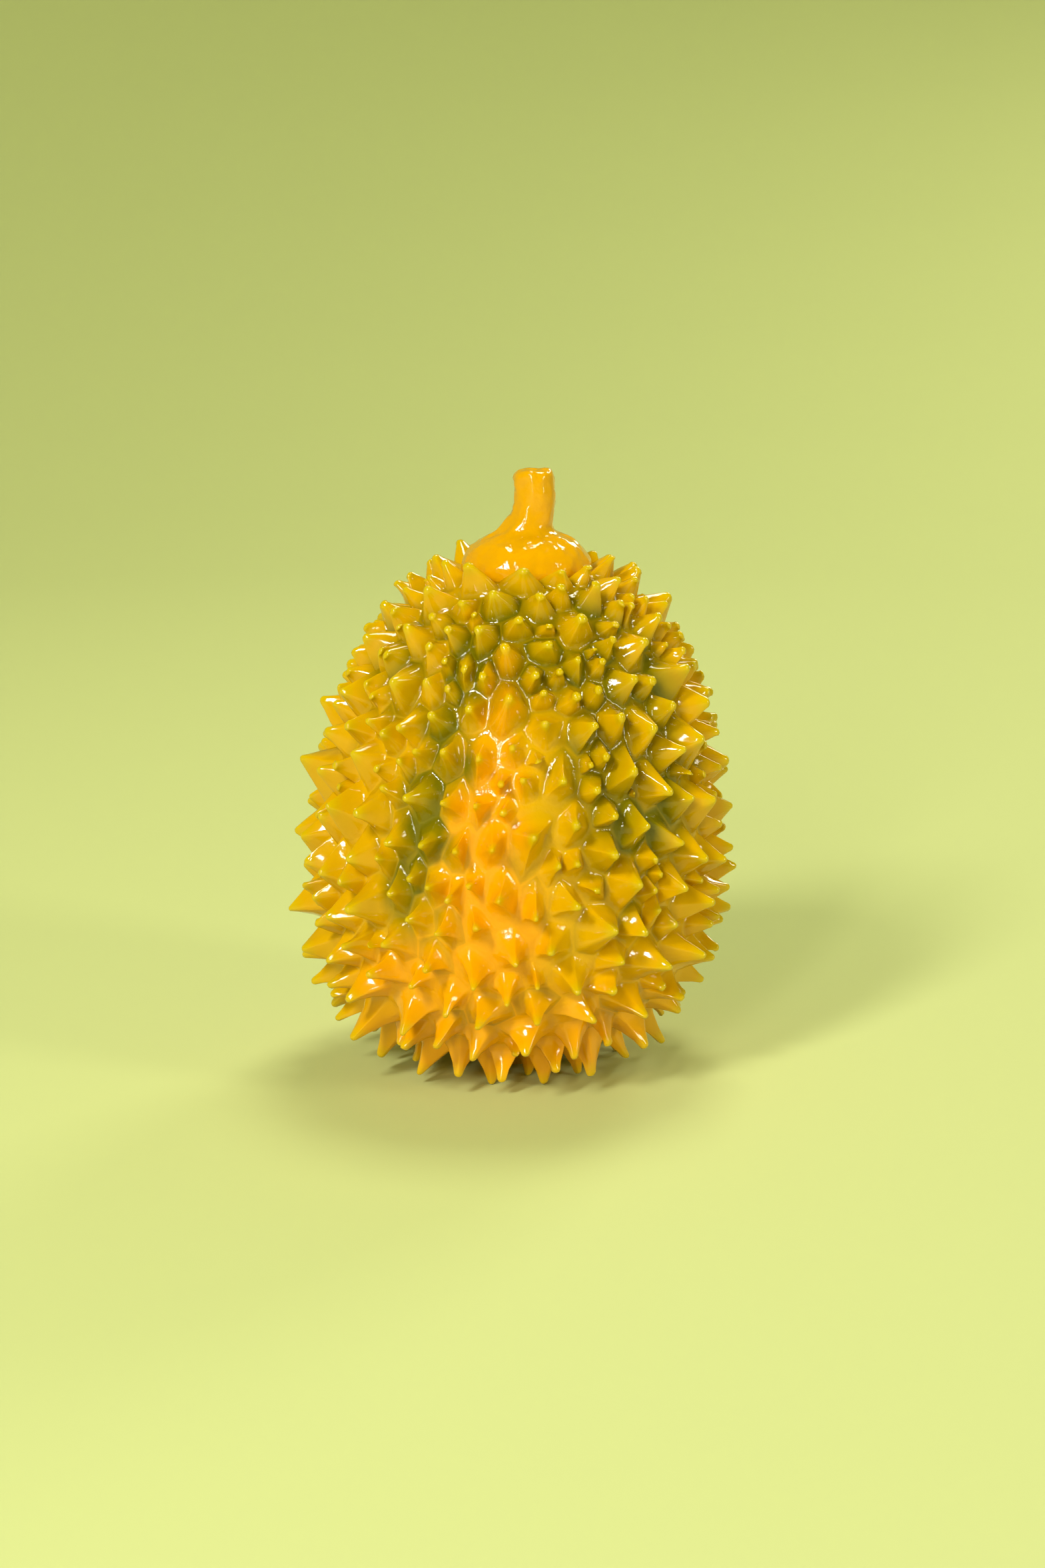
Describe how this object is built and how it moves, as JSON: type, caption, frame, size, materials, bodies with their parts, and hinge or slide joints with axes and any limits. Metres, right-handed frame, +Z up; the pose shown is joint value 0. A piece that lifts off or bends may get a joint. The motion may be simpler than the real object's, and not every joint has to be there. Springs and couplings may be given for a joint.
{
  "type": "moulded rubber durian",
  "caption": "Imitation durian moulded in glossy soft rubber: an upright egg-shaped husk covered in blunt spines, with a smooth collar and a short bent stalk.",
  "frame": {"origin": "on the surface that the husk stands on, below the middle of the whole object's width and depth", "axes": "+Z up along the stalk, +X to the right and -Y towards the viewer as the object is usually shown"},
  "size_m": [0.089, 0.0892, 0.119],
  "materials": {
    "husk": "glossy translucent orange-yellow rubber with an olive tint sprayed into the valleys",
    "stalk": "glossy translucent orange rubber"
  },
  "bodies": {
    "root": {"husk": "husk", "stalk": "stalk"}
  },
  "joints": []
}
